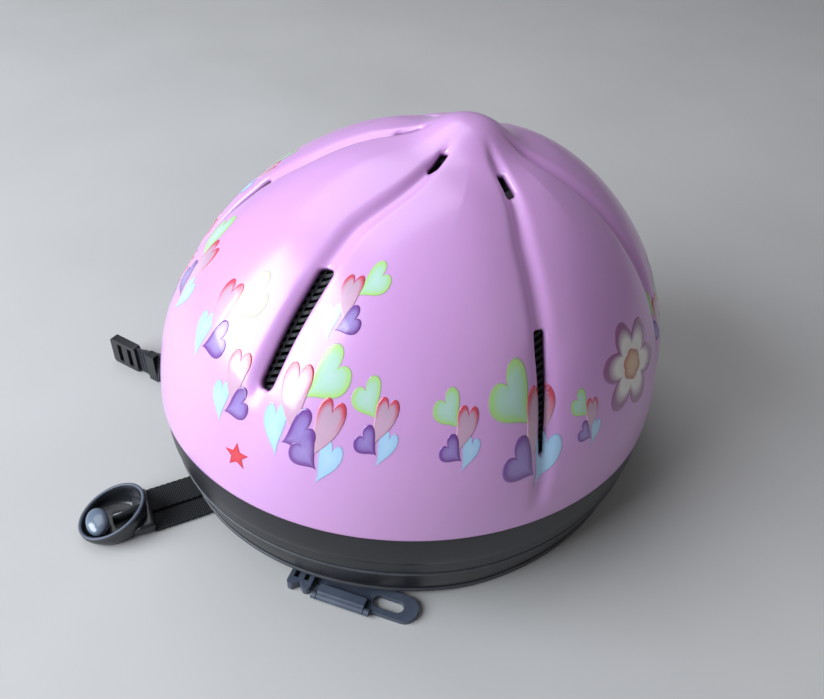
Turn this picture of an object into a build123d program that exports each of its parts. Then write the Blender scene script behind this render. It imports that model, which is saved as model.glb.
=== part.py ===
"""Child's riding helmet, standing on its rim.

Millimetres, +Z up. The wearer faces -Y, and the wearer's left side is +X.
The origin is on the ground, under the middle of the rim.
Azimuths are in degrees about Z, from the wearer's left (+X) towards the back (+Y).
"""

import os
from math import cos, radians, sin, sqrt, tan

from build123d import *

os.makedirs("parts", exist_ok=True)

# Dome: an ellipsoid that stands on a rim plane, which is higher at the brow than at the nape
half_length = 131.0
half_width = 115.5
dome_height = 132.0
crown_shift = 11.0
rim_height = 49.0
rim_tilt = 4.8
shell_wall = 3.0
dome_levels = (0, 14, 28, 42, 55, 66, 75, 83)
cut_margin = 40.0

# Crown knob
knob_radius = 21.0
knob_rise = 8.0
knob_foot = 7.0
knob_flank = (0.5, 0.3)

# Black band under the shell
band_wall = 4.0
band_step_in = 2.0
band_foot_in = 10.0
band_bulge = 0.8
band_levels = (0.3, 0.62)
brow_start = 20.0
brow_slope = 7.4
trim_height = 3.2
trim_proud = 0.9

# Foam liner and comfort pads
cavity_inset = 30.0
fit_gap = 0.2
pad_wall = 7.0
pad_gap = 0.3
crown_pad_radii = (30.0, 38.0)

# Wall pads: azimuth of the middle, spread in degrees, lowest and highest point above the ground
brow_pad_span = (-90, 74, 24, 60)
nape_pad_span = (90, 70, 14, 58)
side_pad_span = (-6, 34, 44, 84)
pad_facets = (-0.5, -0.25, 0, 0.25, 0.5)

# Six valleys in the shell, three a side
valley_azimuths = (-66.0, -4.0, 50.0)
valley_radius = 9.0
valley_depth = 2.0
valley_start = 9.0
valley_sweep = 64.0

# Vent slots: azimuth, lowest and highest point above the rim plane
front_slot = (-65.0, 56.0, 101.0)
side_slot = (-4.0, 37.0, 88.0)
slot_width = 8.0
slot_cut_start = 40.0
slot_cut_length = 110.0
crown_vent_azimuths = (-60.0, 0.0)
crown_vent_reach = 29.0
crown_vent_size = (13.0, 5.5)
mesh_wall = 1.2
mesh_margin = 3.0

# Straps
webbing_width = 18.0
webbing_wall = 1.8
rear_webbing_width = 14.4
chin_width = 27.0
chin_wall = 3.6
ground_gap = 0.3
anchor_height = 60.0
anchor_azimuths = (-38.0, 28.0)
anchor_radius = 7.0
anchor_depth = 9.0
anchor_proud = 1.5

# Strap divider, lying under the brow edge at each side.
# Its own frame runs along the rim, with x forward to back and y towards the helmet.
divider_turn = 45.0
divider_edge = -119.5
divider_width = 14.0
divider_front = -8.0
divider_back = 43.0
divider_wall = 2.4
divider_corner = 6.8
divider_root = 12.0
strap_loop = (15.0, 6.4)
strap_loop_place = (9.5, -0.6)
flap_base_wall = 1.3
flap_base_in = 4.2
flap_base_width = 10.0
flap_front = -5.0
flap_back = 19.0
flap_width = 5.6
flap_wall = 3.6
flap_round = 0.9
pin_height = 2.3
pin_out = 1.0
pin_overlap = 1.0
pin_radius = 0.9
pin_clearance = 0.06
knuckle_radius = 1.8
knuckle_length = 2.6
knuckle_web = 6.0
running_gap = 0.3

# Slide clip beside each divider
clip_centre_left = (-15.0, -114.0)
clip_centre_right = (-10.0, -92.0)
clip_size = (12.0, 13.0, 4.6)
clip_corner = 2.0
clip_notch = 4.0
clip_slot_width = 2.4
clip_slot_shift = (2.6, 1.5)
clip_slot_margin = 6.0

# Buckle: an egg-shaped socket with a press button, and a tongue with a ladder lock
chin_exit_y = -128.0
socket_centre_y = -166.0
socket_radii = (14.5, 17.0)
socket_heights = (16.0, 4.0)
socket_wall = 2.0
strap_gap = 0.4
guide_rib = (2.0, 16.0, 6.0)
guide_rib_back = 7.0
button_y = -173.8
button_radii = (8.4, 5.6)
button_levels = ((0, 1.0), (2.6, 1.0), (4.4, 0.86), (5.4, 0.5))
button_travel = 2.0
tongue_exit = Vector(-76.0, -107.0, 0)
tongue_heading = 213.0
tongue_run = 40.0
tongue_size = (20.0, 18.0, 5.0)
tongue_corner = 2.0
tongue_slot_places = (5.0, 13.0)
tongue_slot_width = 3.4
tongue_slot_height = 13.0
keeper_wall = 1.4
keeper_length = 6.0
keeper_back = 15.0


def rim_plane(height=0.0):
    """The plane that the shell's edge lies in, raised along the dome's own axis."""
    lean = radians(rim_tilt)
    plane = Plane(origin=(0, 0, rim_height), x_dir=(1, 0, 0), z_dir=(0, sin(lean), cos(lean)))
    return plane.offset(height)


def dome(inset, skirt=0.0):
    """A solid dome drawn in from the outer surface, with an upright skirt below the rim plane."""
    with BuildPart() as solid:
        if skirt:
            with BuildSketch(rim_plane(-skirt)):
                Ellipse(half_width - inset, half_length - inset)
        for angle in dome_levels:
            share = cos(radians(angle))
            with BuildSketch(rim_plane((dome_height - inset) * sin(radians(angle)))):
                with Locations((0, crown_shift * (1 - share))):
                    Ellipse((half_width - inset) * share, (half_length - inset) * share)
        loft()
    return solid.part


def skirt(step_in, foot_in, bulge=band_bulge):
    """The solid below the rim plane, tapering in to the ground."""
    full, waist = band_levels
    waist_in = step_in + (foot_in - step_in) / 4
    profile = ((0.0, step_in), (full, step_in - bulge), (waist, waist_in), (1.0, foot_in))
    with BuildPart() as solid:
        for share, inset in profile:
            lean = radians(rim_tilt * (1 - share))
            level = Plane(
                origin=(0, 0, rim_height * (1 - share)),
                x_dir=(1, 0, 0),
                z_dir=(0, sin(lean), cos(lean)),
            )
            with BuildSketch(level):
                Ellipse(half_width - inset, half_length - inset)
        loft()
    return solid.part


def brow_wedge(lift=0.0):
    """What is cut away under the brow, where the rim rises off the ground."""
    reach = half_length + cut_margin
    rise = (reach - brow_start) * tan(radians(brow_slope))
    with BuildPart() as solid:
        with BuildSketch(Plane.YZ):
            with BuildLine():
                Polyline(
                    (-brow_start, lift),
                    (-reach, rise + lift),
                    (-reach, -cut_margin),
                    (reach, -cut_margin),
                    (reach, lift),
                    close=True,
                )
            make_face()
        extrude(amount=half_width + cut_margin, both=True)
    return solid.part


def radial_plane(azimuth):
    """An upright plane, square to the dome's floor, that faces out along an azimuth."""
    base = rim_plane()
    out = base.x_dir * cos(radians(azimuth)) + base.y_dir * sin(radians(azimuth))
    side = base.x_dir * -sin(radians(azimuth)) + base.y_dir * cos(radians(azimuth))
    return Plane(origin=base.origin + base.y_dir * crown_shift, x_dir=side, z_dir=out)


def rim_reach(azimuth):
    """How far the rim is from the crown's axis, along an azimuth."""
    across = cos(radians(azimuth)) / half_width
    along = sin(radians(azimuth)) / half_length
    square = across**2 + along**2
    linear = crown_shift * along / half_length
    return (sqrt(linear**2 + square * (1 - (crown_shift / half_length) ** 2)) - linear) / square


def slot_prism(azimuth, low, high, width):
    """A slot's outline pushed out through every wall at one azimuth."""
    with BuildPart() as solid:
        with BuildSketch(radial_plane(azimuth).offset(slot_cut_start)):
            with Locations((0, (low + high) / 2)):
                SlotOverall(high - low, width, rotation=90)
        extrude(amount=slot_cut_length)
    return solid.part


def crown_prism(azimuth):
    """A small vent by the crown, cut down through the walls."""
    base = rim_plane(dome_height - cut_margin)
    with BuildPart() as solid:
        with BuildSketch(base):
            with Locations((0, crown_shift)):
                with PolarLocations(crown_vent_reach, 1, start_angle=azimuth):
                    SlotOverall(*crown_vent_size)
        extrude(amount=2 * cut_margin)
    return solid.part


def valley(azimuth):
    """A rounded bar that lies along the dome, from near the rim to near the crown."""
    face = radial_plane(azimuth)
    stand_off = valley_radius - valley_depth
    upright = Plane(origin=face.origin, x_dir=face.z_dir, z_dir=-face.x_dir)
    with BuildPart() as solid:
        with BuildLine(upright) as path:
            EllipticalCenterArc(
                (0, 0),
                rim_reach(azimuth) + stand_off,
                dome_height + stand_off,
                start_angle=valley_start,
                arc_size=valley_sweep,
            )
        with BuildSketch(path.line ^ 0):
            Circle(valley_radius)
        sweep(path=path.line)
    return solid.part


def mirrored(azimuth):
    """The same place on the wearer's other side."""
    return 180.0 - azimuth


def both_sides(azimuths):
    """Azimuths on the wearer's left, followed by the same on the right."""
    return [*azimuths, *(mirrored(azimuth) for azimuth in azimuths)]


def save(part, name):
    """Labels a finished piece and writes its file."""
    part.label = name
    export_step(part, f"parts/{name}.step")


def save_pair(part, name):
    """Writes a left-hand piece, and its mirror image for the right."""
    with BuildPart() as other:
        mirror(part, about=Plane.YZ)
    save(part, f"{name}_left")
    save(other.part, f"{name}_right")


def wall_point(azimuth, height, inset):
    """A point on the dome, drawn in by an inset, at a height above the ground."""
    up = max(height - rim_height, 0.0) / (dome_height - inset)
    share = sqrt(1 - up * up)
    x = (half_width - inset) * share * cos(radians(azimuth))
    y = (half_length - inset) * share * sin(radians(azimuth)) + crown_shift * (1 - share)
    return Vector(x, y, height)


def ribbon(stations, width, wall):
    """Flat webbing along straight runs. A station is a place and the direction across the strap."""
    with BuildPart() as solid:
        for index, (place, across) in enumerate(stations):
            before = stations[max(index - 1, 0)][0]
            after = stations[min(index + 1, len(stations) - 1)][0]
            along = (after - before).normalized()
            across = (across - along * across.dot(along)).normalized()
            with BuildSketch(Plane(origin=place, x_dir=across, z_dir=along)):
                Rectangle(width, wall)
        loft(ruled=True)
    return solid.part


def flat_station(x, y, heading, z):
    """A station where the webbing lies flat, running along a heading."""
    return Vector(x, y, z), Vector(-sin(radians(heading)), cos(radians(heading)), 0)


# Outer shell: the dome with its knob, valleys and vents
slots = [
    slot_prism(side_azimuth, low, high, slot_width)
    for azimuth, low, high in (front_slot, side_slot)
    for side_azimuth in both_sides([azimuth])
]
crown_vents = [crown_prism(azimuth) for azimuth in both_sides(crown_vent_azimuths)]
crown_plane = rim_plane(dome_height)
crown_point = crown_plane.origin + crown_plane.y_dir * crown_shift

flank_radius, flank_rise = knob_flank
with BuildPart() as knob:
    with BuildSketch(Plane(origin=crown_point, x_dir=(0, 1, 0), z_dir=(1, 0, 0))):
        with BuildLine():
            Polyline((0, knob_rise), (0, -knob_foot), (knob_radius, -knob_foot))
            Spline(
                (knob_radius, -knob_foot),
                (knob_radius * flank_radius, knob_rise * flank_rise),
                (0, knob_rise),
                tangents=[(-1, 0.3), (-1, 0)],
            )
        make_face()
    revolve(axis=Axis(crown_point, (0, 0, 1)))

with BuildPart() as outer_shell:
    add(dome(0))
    for azimuth in both_sides(valley_azimuths):
        add(valley(azimuth), mode=Mode.SUBTRACT)
    add(knob.part)
    add(dome(shell_wall, skirt=5), mode=Mode.SUBTRACT)
    for opening in [*slots, *crown_vents]:
        add(opening, mode=Mode.SUBTRACT)
save(outer_shell.part, "outer_shell")

# Band under the shell, with a soft trim along its lower edge
with BuildPart() as rim_band:
    add(skirt(band_step_in, band_foot_in))
    add(skirt(band_step_in + band_wall, band_foot_in + band_wall), mode=Mode.SUBTRACT)
    add(brow_wedge(trim_height), mode=Mode.SUBTRACT)
save(rim_band.part, "rim_band")

with BuildPart() as edge_trim:
    add(skirt(band_step_in - trim_proud, band_foot_in - trim_proud))
    add(skirt(band_step_in + band_wall, band_foot_in + band_wall), mode=Mode.SUBTRACT)
    add(brow_wedge(), mode=Mode.SUBTRACT)
    add(brow_wedge(trim_height), mode=Mode.INTERSECT)
save(edge_trim.part, "edge_trim")

# Strap anchors: a plug in the foam at each strap's top
with BuildPart() as strap_anchors:
    for azimuth in both_sides(anchor_azimuths):
        face = wall_point(azimuth, anchor_height, cavity_inset)
        out = Vector(cos(radians(azimuth)), sin(radians(azimuth)), 0)
        with BuildSketch(Plane(origin=face - out * anchor_proud, z_dir=out)):
            Circle(anchor_radius)
        extrude(amount=anchor_depth)
save(strap_anchors.part, "strap_anchors")

# Foam liner: fills the shell and the band, with a channel behind each vent
with BuildPart() as cavity:
    add(dome(cavity_inset))
    add(skirt(cavity_inset, cavity_inset, bulge=0))

with BuildPart() as eps_liner:
    add(dome(shell_wall + fit_gap))
    add(skirt(band_step_in + band_wall + fit_gap, band_foot_in + band_wall + fit_gap))
    add(cavity.part, mode=Mode.SUBTRACT)
    add(brow_wedge(trim_height), mode=Mode.SUBTRACT)
    spread = mesh_margin + fit_gap
    for azimuth, low, high in (front_slot, side_slot):
        for side_azimuth in both_sides([azimuth]):
            channel = slot_prism(side_azimuth, low - spread, high + spread, slot_width + 2 * spread)
            add(channel, mode=Mode.SUBTRACT)
    for opening in crown_vents:
        add(opening, mode=Mode.SUBTRACT)
    add(strap_anchors.part, mode=Mode.SUBTRACT)
save(eps_liner.part, "eps_liner")

# Insect mesh in each vent slot, just under the shell
for name, (azimuth, low, high) in (("front", front_slot), ("side", side_slot)):
    with BuildPart() as vent_mesh:
        for side_azimuth in both_sides([azimuth]):
            span = slot_width + 2 * mesh_margin
            add(slot_prism(side_azimuth, low - mesh_margin, high + mesh_margin, span))
        add(dome(shell_wall + fit_gap), mode=Mode.INTERSECT)
        add(dome(shell_wall + fit_gap + mesh_wall, skirt=5), mode=Mode.SUBTRACT)
    save(vent_mesh.part, f"{name}_vent_mesh")

# Comfort pads on the cavity wall
pad_inner = cavity_inset + pad_gap + pad_wall
with BuildPart() as pad_layer:
    add(dome(cavity_inset + pad_gap))
    add(skirt(cavity_inset + pad_gap, cavity_inset + pad_gap, bulge=0))
    add(dome(pad_inner), mode=Mode.SUBTRACT)
    add(skirt(pad_inner, pad_inner, bulge=0), mode=Mode.SUBTRACT)


def wall_pad(azimuth, spread, low, high):
    """A pad on the cavity wall over a sector of azimuths, between two heights."""
    corners = [(0, 0)]
    for turn in pad_facets:
        angle = radians(azimuth + turn * spread)
        corners.append((half_length * cos(angle), half_length * sin(angle)))
    with BuildPart() as pad:
        with BuildSketch(Plane.XY.offset(low)):
            with BuildLine():
                Polyline(*corners, close=True)
            make_face()
        extrude(amount=high - low)
        add(pad_layer.part, mode=Mode.INTERSECT)
    return pad.part


save(wall_pad(*brow_pad_span), "brow_pad")
save(wall_pad(*nape_pad_span), "nape_pad")
save_pair(wall_pad(*side_pad_span), "side_pad")

with BuildPart() as crown_pad:
    with BuildSketch(rim_plane(dome_height / 2)):
        with Locations((0, crown_shift)):
            Ellipse(*crown_pad_radii)
    extrude(amount=dome_height)
    add(pad_layer.part, mode=Mode.INTERSECT)
save(crown_pad.part, "crown_pad")

# Harness: two straps a side, from the anchors down to the divider
flat_z = ground_gap + webbing_wall / 2
hang = cavity_inset + anchor_proud + webbing_wall


def anchor_station(azimuth):
    """The top of a strap, hanging in front of its anchor."""
    side = Vector(-sin(radians(azimuth)), cos(radians(azimuth)), 0)
    return wall_point(azimuth, anchor_height + anchor_radius, hang), side


front_azimuth, rear_azimuth = anchor_azimuths
front_side = anchor_station(front_azimuth)[1]
rear_side = anchor_station(rear_azimuth)[1]
front_strap = ribbon(
    [
        anchor_station(front_azimuth),
        (wall_point(front_azimuth, 40, hang), front_side),
        (wall_point(front_azimuth, 14, hang + 2), front_side),
        (Vector(65, -53, 3.0), front_side),
        (Vector(79, -61.5, flat_z), front_side),
    ],
    webbing_width,
    webbing_wall,
)
save_pair(front_strap, "front_strap")

rear_strap = ribbon(
    [
        anchor_station(rear_azimuth),
        (wall_point(rear_azimuth, 40, hang), rear_side),
        (Vector(73, 22, 15), Vector(0.35, 0.94, 0)),
        (Vector(74, 2, flat_z + 2.2), Vector(0.94, 0.35, 0)),
        flat_station(75, -16, -75, flat_z),
        flat_station(82, -36, -68, flat_z),
    ],
    rear_webbing_width,
    webbing_wall,
)
save_pair(rear_strap, "rear_strap")

# Divider: a flat loop plate, with a knuckled base for the locking flap
divider_plane = Plane.XY.rotated((0, 0, divider_turn))
pin_y = divider_edge - pin_out
plate_y = divider_edge + divider_width / 2


def knuckle(front, back, radius):
    """A bar about the flap's pin axis, between two places along the divider."""
    plane = Plane(
        origin=divider_plane.from_local_coords((front, pin_y, pin_height)),
        z_dir=divider_plane.x_dir,
    )
    with BuildPart() as solid:
        with BuildSketch(plane):
            Circle(radius)
        extrude(amount=back - front)
    return solid.part


with BuildPart() as divider:
    with BuildSketch(divider_plane.offset(ground_gap)):
        with Locations(((flap_back + divider_back) / 2, plate_y)):
            RectangleRounded(divider_back - flap_back, divider_width, divider_corner)
        with Locations((flap_back + divider_root / 2, plate_y)):
            Rectangle(divider_root, divider_width)
    extrude(amount=divider_wall)
    with BuildSketch(divider_plane.offset(ground_gap)):
        base_y = divider_edge + flap_base_in + flap_base_width / 2
        with Locations(((divider_front + flap_back + pin_overlap) / 2, base_y)):
            Rectangle(flap_back + pin_overlap - divider_front, flap_base_width)
    extrude(amount=flap_base_wall)
    for front in (flap_front - knuckle_length, flap_back):
        with BuildSketch(divider_plane.offset(ground_gap)):
            with Locations((front + knuckle_length / 2, pin_y + knuckle_web / 2)):
                Rectangle(knuckle_length, knuckle_web)
        extrude(amount=pin_height - ground_gap)
        add(knuckle(front, front + knuckle_length, knuckle_radius))
    add(knuckle(flap_front - pin_overlap, flap_back + pin_overlap, pin_radius))
    with BuildSketch(divider_plane):
        with Locations((flap_back + strap_loop_place[0], plate_y + strap_loop_place[1])):
            SlotOverall(*strap_loop)
    extrude(amount=2 * divider_wall, mode=Mode.SUBTRACT)
save_pair(divider.part, "divider")

with BuildPart() as lock_flap:
    flap_z = ground_gap + flap_base_wall + running_gap
    with BuildSketch(divider_plane.offset(flap_z)):
        with Locations(((flap_front + flap_back) / 2, pin_y + flap_width / 2)):
            Rectangle(flap_back - flap_front - 2 * running_gap, flap_width)
    extrude(amount=flap_wall)
    long_edges = lock_flap.edges().filter_by(Axis((0, 0, 0), divider_plane.x_dir))
    fillet(long_edges.group_by(Axis.Z)[-1], flap_round)
    add(knuckle(flap_front + running_gap, flap_back - running_gap, knuckle_radius))
    hole = knuckle(flap_front, flap_back, pin_radius + pin_clearance)
    add(hole, mode=Mode.SUBTRACT)
save_pair(lock_flap.part, "lock_flap")


def slide_clip(centre):
    """A small two-slot slide with a notched outer edge, at a place in the divider's frame."""
    length, width, height = clip_size
    across, along = centre
    apart, back = clip_slot_shift
    with BuildPart() as clip:
        with BuildSketch(divider_plane.offset(ground_gap)):
            with Locations(centre):
                RectangleRounded(length, width, clip_corner)
            with Locations((across, along - width / 2)):
                Rectangle(clip_notch, clip_notch, rotation=45, mode=Mode.SUBTRACT)
            with Locations((across - apart, along + back), (across + apart, along + back)):
                Rectangle(clip_slot_width, width - clip_slot_margin, mode=Mode.SUBTRACT)
        extrude(amount=height)
    return clip.part


# Slide clips: the right one has slipped back under the foam
with BuildPart() as right_clip:
    mirror(slide_clip(clip_centre_right), about=Plane.YZ)
save(slide_clip(clip_centre_left), "slide_clip_left")
save(right_clip.part, "slide_clip_right")

# Chin straps: the run under the rim stays with the harness, and the free run hinges at its mouth
chin_z = ground_gap + chin_wall / 2
inner_left = ribbon(
    [
        flat_station(46, -42, 200, chin_z),
        flat_station(29, -55, 215, chin_z),
        flat_station(11, -77, 238, chin_z),
        flat_station(0, -104, 270, chin_z),
        flat_station(0, chin_exit_y + 1, 270, chin_z),
    ],
    chin_width,
    chin_wall,
)
save(inner_left, "chin_strap_inner_left")

outer_left = ribbon(
    [
        flat_station(0, chin_exit_y, 270, chin_z),
        flat_station(0, socket_centre_y + socket_radii[1] + strap_gap, 270, chin_z),
    ],
    chin_width,
    chin_wall,
)
save(outer_left, "chin_strap_left")

run = Vector(cos(radians(tongue_heading)), sin(radians(tongue_heading)), 0)
run_side = Vector(-sin(radians(tongue_heading)), cos(radians(tongue_heading)), 0)
upright = Vector(0, 0, 1)
edge_z = ground_gap + webbing_width / 2


def along_run(distance, height):
    """A place along the free run of the right chin strap."""
    return Vector(tongue_exit.X, tongue_exit.Y, height) + run * distance


inner_right = ribbon(
    [
        flat_station(-64, -40, -5, flat_z),
        flat_station(-46, -44, -30, flat_z),
        flat_station(-35, -60, -95, flat_z),
        flat_station(-40, -79, -128, flat_z),
        flat_station(-57, -94, -147, flat_z),
        (along_run(-1, flat_z), run_side),
    ],
    webbing_width,
    webbing_wall,
)
save(inner_right, "chin_strap_inner_right")

outer_right = ribbon(
    [
        (along_run(0, flat_z), run_side),
        (along_run(5, flat_z + 2.6), run_side * 0.9 + upright * 0.3),
        (along_run(10, edge_z - 2.4), run_side * 0.6 + upright),
        (along_run(15, edge_z), upright),
        (along_run(tongue_run, edge_z), upright),
    ],
    webbing_width,
    webbing_wall,
)
save(outer_right, "chin_strap_right")

# Tongue: a ladder lock standing on edge at the strap's end, with its blade
tongue_plane = Plane(origin=along_run(tongue_run + 0.3, edge_z), x_dir=run, z_dir=run_side)
with BuildPart() as buckle_tongue:
    length, height, wall = tongue_size
    with BuildSketch(tongue_plane.offset(-wall / 2)):
        with Locations((length / 2, 0)):
            RectangleRounded(length, height, tongue_corner)
        with Locations(*((place, 0) for place in tongue_slot_places)):
            Rectangle(tongue_slot_width, tongue_slot_height, mode=Mode.SUBTRACT)
    extrude(amount=wall)
save(buckle_tongue.part, "buckle_tongue")

# Keeper: a loop that slides on the webbing
with BuildPart() as strap_keeper:
    keeper_start = along_run(tongue_run - keeper_back, edge_z)
    inner_size = (webbing_width + 2 * running_gap, webbing_wall + 2 * running_gap)
    with BuildSketch(Plane(origin=keeper_start, x_dir=upright, z_dir=run)):
        Rectangle(inner_size[0] + 2 * running_gap, inner_size[1] + 2 * keeper_wall)
        Rectangle(*inner_size, mode=Mode.SUBTRACT)
    extrude(amount=keeper_length)
save(strap_keeper.part, "strap_keeper")

# Socket: an egg-shaped cup cut off on a slant, open at the top
with BuildPart() as buckle_socket:
    with BuildSketch(Plane.XY.offset(ground_gap)):
        with Locations((0, socket_centre_y)):
            Ellipse(*socket_radii)
    extrude(amount=socket_heights[0])
    with BuildSketch(Plane.XY.offset(ground_gap + socket_wall)):
        with Locations((0, socket_centre_y)):
            Ellipse(socket_radii[0] - socket_wall, socket_radii[1] - socket_wall)
    extrude(amount=socket_heights[0], mode=Mode.SUBTRACT)
    with BuildSketch(Plane.XY.offset(ground_gap + socket_wall)):
        with Locations((0, socket_centre_y + guide_rib_back)):
            Rectangle(*guide_rib[:2])
    extrude(amount=guide_rib[2])
    slope_start = socket_centre_y + socket_radii[1]
    slope_end = socket_centre_y - socket_radii[1]
    with BuildSketch(Plane.YZ):
        with BuildLine():
            Polyline(
                (slope_start, ground_gap + socket_heights[0]),
                (slope_end, ground_gap + socket_heights[1]),
                (slope_end, 2 * socket_heights[0]),
                (slope_start, 2 * socket_heights[0]),
                close=True,
            )
        make_face()
    extrude(amount=2 * socket_radii[0], both=True, mode=Mode.SUBTRACT)
save(buckle_socket.part, "buckle_socket")

# Release button: an oval, crowned pad that sinks into the socket
with BuildPart() as release_button:
    button_foot = ground_gap + socket_wall + button_travel + running_gap
    for height, share in button_levels:
        with BuildSketch(Plane.XY.offset(button_foot + height)):
            with Locations((0, button_y)):
                Ellipse(button_radii[0] * share, button_radii[1] * share)
    loft()
save(release_button.part, "release_button")
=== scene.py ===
"""Looks of the child's riding helmet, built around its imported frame. Metres, +Z up, front towards -Y."""

import math

import bpy
import numpy as np
from mathutils import Matrix, Vector


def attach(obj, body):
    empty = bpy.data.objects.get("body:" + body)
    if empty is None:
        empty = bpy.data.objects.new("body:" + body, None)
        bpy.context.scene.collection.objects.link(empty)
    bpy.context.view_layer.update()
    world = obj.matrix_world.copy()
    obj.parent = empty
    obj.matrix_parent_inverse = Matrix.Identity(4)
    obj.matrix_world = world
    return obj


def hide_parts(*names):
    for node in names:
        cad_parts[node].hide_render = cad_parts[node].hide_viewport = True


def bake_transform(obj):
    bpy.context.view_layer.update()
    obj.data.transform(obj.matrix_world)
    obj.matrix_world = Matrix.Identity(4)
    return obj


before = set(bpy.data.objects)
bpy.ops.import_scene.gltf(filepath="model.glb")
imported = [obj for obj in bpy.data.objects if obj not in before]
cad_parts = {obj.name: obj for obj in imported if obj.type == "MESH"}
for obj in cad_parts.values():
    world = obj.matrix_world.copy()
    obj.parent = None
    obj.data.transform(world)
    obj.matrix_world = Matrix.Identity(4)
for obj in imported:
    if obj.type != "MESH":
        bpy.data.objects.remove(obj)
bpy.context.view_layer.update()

MM = 0.001

# Helmet form, as in the frame: an ellipsoid on a rim plane that is higher at the brow
HALF_LENGTH = 131 * MM
HALF_WIDTH = 115.5 * MM
DOME_HEIGHT = 132 * MM
CROWN_SHIFT = 11 * MM
RIM_HEIGHT = 49 * MM
RIM_TILT = math.radians(4.8)
SHELL_WALL = 2.8 * MM
KNOB_RISE = 8.2 * MM
KNOB_SPREAD = 18.5 * MM
BROW_START = 20 * MM
BROW_SOFTNESS = 6 * MM
BROW_SLOPE = math.tan(math.radians(7.4))

# Valleys: azimuth in degrees, how far it bends near the crown, and the height where it ends
VALLEYS = ((-66.0, 8.0, 0.40), (-4.0, 5.0, 0.10), (50.0, -1.0, 0.16))
VALLEY_DEPTH = 2.6 * MM
VALLEY_SPREAD = 3.9 * MM
GORE_SWELL = 1.6 * MM
SLOT_HOLLOW = 1.0 * MM

# Slots: azimuth, lowest and highest height above the rim plane, half width low and high
SLOTS = (
    (-65.0, 56.0 * MM, 101.0 * MM, 3.3 * MM, 3.7 * MM),
    (-4.0, 37.0 * MM, 88.0 * MM, 1.2 * MM, 2.8 * MM),
)
CROWN_VENTS = ((-57.0, 21.0 * MM, 34.0 * MM, 1.9 * MM), (1.0, 28.0 * MM, 41.0 * MM, 2.0 * MM))
LIP_RADIUS = 1.3 * MM


# ---- form


def both_sides(azimuth):
    """An azimuth on the wearer's left, and its mirror image on the right."""
    return azimuth, 180.0 - azimuth


def turn_between(azimuth, place):
    """The turn from a place to azimuths, all in radians, within half a turn either way."""
    return np.arctan2(np.sin(azimuth - place), np.cos(azimuth - place))


def rim_reach(azimuth):
    """How far the rim is from the crown's axis, along azimuths in radians."""
    across = np.cos(azimuth) / HALF_WIDTH
    along = np.sin(azimuth) / HALF_LENGTH
    square = across**2 + along**2
    linear = CROWN_SHIFT * along / HALF_LENGTH
    return (np.sqrt(linear**2 + square * (1 - (CROWN_SHIFT / HALF_LENGTH) ** 2)) - linear) / square


def lean(x, y, z):
    """Points over the rim plane, turned into the row frame."""
    return np.stack(
        [
            x,
            y * math.cos(RIM_TILT) + z * math.sin(RIM_TILT),
            RIM_HEIGHT - y * math.sin(RIM_TILT) + z * math.cos(RIM_TILT),
        ],
        axis=-1,
    )


def base_point(azimuth, rise):
    """The plain ellipsoid. rise runs from 0 at the rim to pi/2 at the crown."""
    share = np.clip(np.cos(rise), 0, 1)
    height = DOME_HEIGHT * np.clip(np.sin(rise), 0, 1)
    reach = rim_reach(azimuth) * share
    return lean(reach * np.cos(azimuth), CROWN_SHIFT + reach * np.sin(azimuth), height)


def base_normal(azimuth, rise):
    """Outward normal of the plain ellipsoid."""
    step = 1e-4
    low = np.clip(rise, 0.003, math.pi / 2 - 0.003)
    along = base_point(azimuth + step, low) - base_point(azimuth - step, low)
    up = base_point(azimuth, low + step) - base_point(azimuth, low - step)
    normal = np.cross(along, up)
    return normal / np.linalg.norm(normal, axis=-1, keepdims=True)


def smooth(value, low, high):
    """0 below low, 1 above high, and a smooth climb between."""
    share = np.clip((value - low) / (high - low), 0, 1)
    return share * share * (3 - 2 * share)


def relief(azimuth, rise):
    """How far the shell stands out of the plain ellipsoid: gores, valleys and the hollows by the slots;
    shell_point adds the knob.
    """
    radius = rim_reach(azimuth) * np.cos(rise)
    height = np.sin(rise)
    out = np.zeros_like(radius)
    nearest = np.full_like(radius, 1.0)
    for place, bend, foot in VALLEYS:
        for side, turn in zip(both_sides(place), (1, -1)):
            bent = np.radians(side) + turn * math.radians(bend) * smooth(height, 0.84, 0.985)
            apart = turn_between(azimuth, bent)
            distance = np.abs(radius * np.sin(np.clip(apart, -1.5, 1.5)))
            spread = VALLEY_SPREAD * (0.55 + 0.45 * smooth(radius, 0.01, 0.07))
            present = smooth(height, foot - 0.06, foot + 0.08) * (1 - smooth(height, 0.972, 0.996))
            out -= VALLEY_DEPTH * present * np.exp(-((distance / spread) ** 2))
            nearest = np.minimum(nearest, np.where(np.abs(apart) < 1.4, distance, 1.0))
    for place, low, high, _, _ in SLOTS:
        for side in both_sides(place):
            apart = turn_between(azimuth, math.radians(side))
            distance = radius * np.sin(np.clip(apart, -1.5, 1.5))
            foot, top = low / DOME_HEIGHT, high / DOME_HEIGHT
            present = smooth(height, foot - 0.01, foot + 0.09) * (1 - smooth(height, top - 0.07, top))
            out -= SLOT_HOLLOW * present * np.exp(-((distance / (8 * MM)) ** 2))
    swell = smooth(height, 0.02, 0.35) * (1 - smooth(height, 0.93, 0.99))
    out += GORE_SWELL * swell * (1 - np.exp(-((nearest / (16 * MM)) ** 2)))
    return out


def shell_point(azimuth, rise, stand_off=0.0):
    """A point on the finished shell, or a little above it."""
    azimuth = np.asarray(azimuth, float)
    rise = np.asarray(rise, float)
    normal = base_normal(azimuth, rise)
    point = base_point(azimuth, rise) + normal * (relief(azimuth, rise) + stand_off)[..., None]
    radius = rim_reach(azimuth) * np.cos(rise)
    knob = KNOB_RISE * np.exp(-((radius / KNOB_SPREAD) ** 2.8))
    return point + knob[..., None] * np.array([0, math.sin(RIM_TILT), math.cos(RIM_TILT)])


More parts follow.
